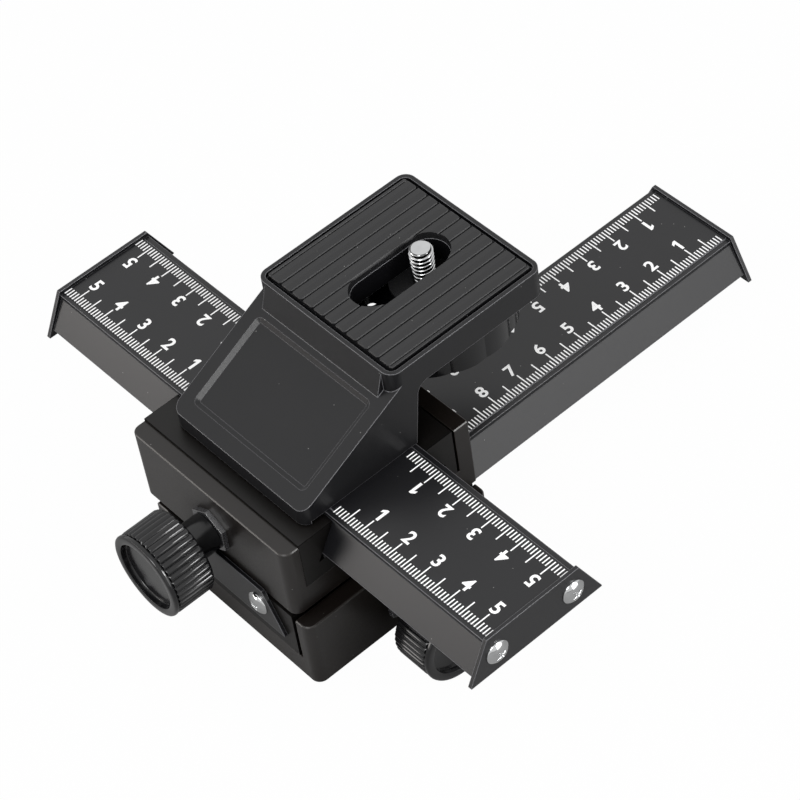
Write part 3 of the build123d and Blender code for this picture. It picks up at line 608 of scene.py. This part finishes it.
for letter, body, axis in (("y", "y_carriage", 1), ("x", "x_carriage", 0)):
    name = letter + "_plate_screws"
    spots = [nodes[name].matrix_world @ vertex.co / mm for vertex in nodes[name].data.vertices]
    low = Vector([min(spot[i] for spot in spots) for i in range(3)])
    high = Vector([max(spot[i] for spot in spots) for i in range(3)])
    mesh = bmesh.new()
    for outward in (-1, 1):
        for side in (-1, 1):
            base = (low + high) / 2
            base[1 - axis] += side * ((high - low)[1 - axis] / 2 - plateScrew["headInCad"])
            base[axis] = (high if outward > 0 else low)[axis] - outward * plateScrew["height"]
            direction = [0, 0, 0]
            direction[axis] = outward
            turned(mesh, base, direction, screwRows(), plateScrew["sides"])
    smoothPiece(letter + "PlateScrewSet", mesh, brightScrew, body, name)
print("knobs and plate screws turned")

pad = {
    "halfWidth": 22.85,
    "front": 12.85, "rear": 57.3,
    "low": 72.75, "top": 74.75,
    "ribPitch": 3.97, "grooves": 12,
    "grooveHalf": 0.5, "grooveDepth": 0.62,
    "crown": 0.12,  # how far a rib's shoulders lie below its middle
    "notch": 0.75, "notchHalf": 0.7,  # depth and half width of each groove's cut into the pad's two ends
    "round": 0.35,  # soft edge at the ribs' ends and at the pad's sides
    "cornerRadius": 0.8,
    "corner": 0.9,  # width of the strip at each side that follows the plan's corners
    "softShare": 0.29, "endShare": 0.3,  # of the round, at the pad's sides and ends
    "endRibShare": 0.6,  # how much of the ribs' depth is left at the pad's ends
    "steps": [0.0, 0.07, 0.15, 0.24, 0.35, 0.5, 0.7, 1.2],  # mm from each groove's middle
    "slotSteps": 24,
    "slotHalf": 5.95, "slotFront": 20.9, "slotRear": 50.3,
}


def fromGroove(x):
    outermost = (pad["grooves"] - 1) / 2 * pad["ribPitch"]
    if abs(x) > outermost:
        return abs(x) - outermost
    position = (x + outermost) / pad["ribPitch"] % 1.0
    return min(position, 1 - position) * pad["ribPitch"]


def padHeight(x):
    # depth below the top at x from the pad's middle: a low gable with round shoulders
    away = fromGroove(x)
    gable = pad["crown"] * (1 - min(away / (pad["ribPitch"] / 2), 1.0))
    if away < pad["grooveHalf"]:
        return gable + pad["grooveDepth"] * (1 - away / pad["grooveHalf"]) ** 2
    return gable


def endNotch(x):
    return pad["notch"] * max(0.0, 1 - fromGroove(x) / pad["notchHalf"]) ** 2


def padColumns():
    outermost = (pad["grooves"] - 1) / 2 * pad["ribPitch"]
    columns = {-pad["halfWidth"], pad["halfWidth"]}
    for number in range(pad["grooves"]):
        centre = number * pad["ribPitch"] - outermost
        for step in pad["steps"]:
            columns.update({round(centre - step, 4), round(centre + step, 4)})
    for number in range(pad["grooves"] - 1):
        columns.add(round((number + 0.5) * pad["ribPitch"] - outermost, 4))
    return sorted(x for x in columns if abs(x) <= pad["halfWidth"])


def padOutline():
    half, top = pad["halfWidth"], pad["top"]
    soft = pad["round"] * pad["softShare"]
    shoulder = top - soft - padHeight(half)
    ribs = [(x, top - padHeight(x)) for x in padColumns() if abs(x) <= half - pad["round"]]
    return [(-half, pad["low"]), (-half, top - pad["round"]), (-half + soft, shoulder), *ribs,
            (half - soft, shoulder), (half, top - pad["round"]), (half, pad["low"])]


def slotCutter():
    mesh = bmesh.new()
    half = pad["slotHalf"]
    outline = []
    for middle, first in ((pad["slotFront"] + half, 180), (pad["slotRear"] - half, 0)):
        for number in range(pad["slotSteps"] + 1):
            angle = math.radians(first + 180 * number / pad["slotSteps"])
            outline.append((half * math.cos(angle), middle + half * math.sin(angle)))
    lower = [mesh.verts.new(Vector((places["towerX"] + x, y, pad["low"] - 1)) * mm) for x, y in outline]
    upper = [mesh.verts.new(Vector((places["towerX"] + x, y, pad["top"] + 1)) * mm) for x, y in outline]
    bridge(mesh, lower, upper)
    mesh.faces.new(reversed(lower))
    mesh.faces.new(upper)
    data = bpy.data.meshes.new("slotCutter")
    bmesh.ops.recalc_face_normals(mesh, faces=mesh.faces)
    mesh.to_mesh(data)
    mesh.free()
    cutter = bpy.data.objects.new("slotCutter", data)
    bpy.context.scene.collection.objects.link(cutter)
    return cutter


def padRow(mesh, profile, y, drop):
    # one row of the pad's skin; the plan's corners are cut and the grooves notch both ends
    toEnd = min(y - pad["front"], pad["rear"] - y)
    corner = pad["cornerRadius"]
    inset = corner - math.sqrt(corner ** 2 - (corner - toEnd) ** 2) if toEnd < corner else 0.0
    width = (pad["halfWidth"] - inset) / pad["halfWidth"]
    middleY = (pad["front"] + pad["rear"]) / 2
    row = []
    for x, z in profile:
        across = x * width if abs(x) > pad["halfWidth"] - pad["corner"] else x
        ribbedTop = pad["top"] - drop - (pad["top"] - z) * pad["endRibShare"]
        lowered = min(z, ribbedTop) if z > pad["low"] else z
        inward = endNotch(x) if y < middleY else -endNotch(x)
        row.append(mesh.verts.new(Vector((places["towerX"] + across, y + inward, lowered)) * mm))
    return row


ribbed = bmesh.new()
profile = padOutline()
# the pad's ends are rounded over, so the first and last rows lie lower
part = pad["round"] * pad["endShare"]
ends = ((pad["front"], pad["round"]), (pad["front"] + part, part), (pad["front"] + pad["round"], 0.0),
        (pad["rear"] - pad["round"], 0.0), (pad["rear"] - part, part), (pad["rear"], pad["round"]))
rows = [padRow(ribbed, profile, y, drop) for y, drop in ends]
for before, after in zip(rows, rows[1:]):
    bridge(ribbed, before, after)
ribbed.faces.new(rows[0])
ribbed.faces.new(list(reversed(rows[-1])))
bmesh.ops.recalc_face_normals(ribbed, faces=ribbed.faces)
padPiece = pieceFromMesh("ribbedRubberPad", ribbed, rubber, "x_carriage")
cutter = slotCutter()
cut = padPiece.modifiers.new("slot", "BOOLEAN")
cut.operation = "DIFFERENCE"
cut.solver = "EXACT"
cut.object = cutter
bpy.context.view_layer.update()
slotted = bpy.data.meshes.new_from_object(padPiece.evaluated_get(bpy.context.evaluated_depsgraph_get()))
padPiece.modifiers.clear()
padPiece.data = slotted
bpy.data.objects.remove(cutter)
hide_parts("rubber_pad")
print("pad ribbed")

studio = {
    "floorHeight": -2.9,  # mm; the lower knob hangs a little below the base
    "floorReach": 6000.0,
    "floorColour": "#b0b0b0",
    "floorGlow": 0.97,  # how much of the floor is plain white to the camera
    "paperWhite": 1.01,
    "sky": 0.5,  # how bright the sky is to diffuse light; camera and glossy rays see plain white
    "aim": (0, 20, 40),  # mm, where the lamps point
}
lamps = [
    {"name": "softboxKey", "place": (250, -520, 800), "size": 450, "power": 4.8, "colour": "#ffffff"},
    {"name": "softboxLeft", "place": (-560, -850, 130), "size": 600, "power": 5.6, "colour": "#fffaf6"},
    {"name": "softboxRight", "place": (900, 390, 150), "size": 600, "power": 2.4, "colour": "#ffffff"},
    {"name": "softboxRibs", "place": (800, 400, 560), "size": 220, "power": 3.2, "colour": "#ffffff"},
]
view = {
    "place": (411.54, -253.88, 581.60),  # mm, in the part's frame
    "azimuth": -34.43,  # degrees from +X
    "elevation": 47.62,
    "roll": -9.61,
    "lens": 134.3,
    "sensor": 36,
    "clip": 10,
}


def addFloor():
    mesh = bmesh.new()
    reach = studio["floorReach"] * mm
    height = studio["floorHeight"] * mm
    addQuad(mesh, [Vector((-reach, -reach, height)), Vector((reach, -reach, height)),
                   Vector((reach, reach, height)), Vector((-reach, reach, height))])
    data = bpy.data.meshes.new("floor")
    mesh.to_mesh(data)
    mesh.free()
    floor = bpy.data.objects.new("floor", data)
    bpy.context.scene.collection.objects.link(floor)
    material = bpy.data.materials.new("paperFloor")
    material.use_nodes = True
    tree = material.node_tree
    tree.nodes.clear()
    ray = addNode(tree, "LightPath")
    share = addNode(tree, "Math", {1: studio["floorGlow"]}, {0: ray.outputs["Is Camera Ray"]},
                    operation="MULTIPLY")
    paper = addNode(tree, "BsdfDiffuse", {"Color": linear(studio["floorColour"])})
    white = addNode(tree, "Emission", {"Color": (1, 1, 1, 1), "Strength": studio["paperWhite"]})
    mixed = addNode(tree, "MixShader", links={0: share.outputs[0], 1: paper.outputs[0], 2: white.outputs[0]})
    addNode(tree, "OutputMaterial", links={"Surface": mixed.outputs[0]})
    data.materials.append(material)


def addWorld():
    world = bpy.data.worlds.new("studio")
    bpy.context.scene.world = world
    world.use_nodes = True
    tree = world.node_tree
    tree.nodes.clear()
    ray = addNode(tree, "LightPath")
    seen = addNode(tree, "Math", links={0: ray.outputs["Is Camera Ray"], 1: ray.outputs["Is Glossy Ray"]},
                   operation="MAXIMUM")
    strength = addNode(tree, "MapRange", {"To Min": studio["sky"], "To Max": 1.0},
                       {"Value": seen.outputs[0]})
    glow = addNode(tree, "Background", {"Color": (1, 1, 1, 1)}, {"Strength": strength.outputs[0]})
    addNode(tree, "OutputWorld", links={"Surface": glow.outputs[0]})


def addLamp(look):
    data = bpy.data.lights.new(look["name"], "AREA")
    data.shape = "SQUARE"
    data.size = look["size"] * mm
    data.energy = look["power"]
    data.color = linear(look["colour"])[:3]
    lamp = bpy.data.objects.new(look["name"], data)
    bpy.context.scene.collection.objects.link(lamp)
    place = Vector(look["place"]) * mm
    aim = Vector(studio["aim"]) * mm - place
    lamp.matrix_world = Matrix.Translation(place) @ aim.to_track_quat("-Z", "Y").to_matrix().to_4x4()


def addCamera():
    data = bpy.data.cameras.new("photoCamera")
    data.lens = view["lens"]
    data.sensor_width = view["sensor"]
    data.clip_start = view["clip"] * mm
    camera = bpy.data.objects.new("photoCamera", data)
    bpy.context.scene.collection.objects.link(camera)
    turn = Matrix.Rotation(math.radians(view["azimuth"] + 90), 4, "Z")
    tilt = Matrix.Rotation(math.radians(90 - view["elevation"]), 4, "X")
    roll = Matrix.Rotation(math.radians(view["roll"]), 4, "Z")
    place = Matrix.Translation(Vector(view["place"]) * mm)
    camera.matrix_world = place @ turn @ tilt @ roll
    bpy.context.scene.camera = camera


addFloor()
addWorld()
for look in lamps:
    addLamp(look)
addCamera()
bpy.context.scene.view_settings.view_transform = "Standard"
print("floor, light and camera set")
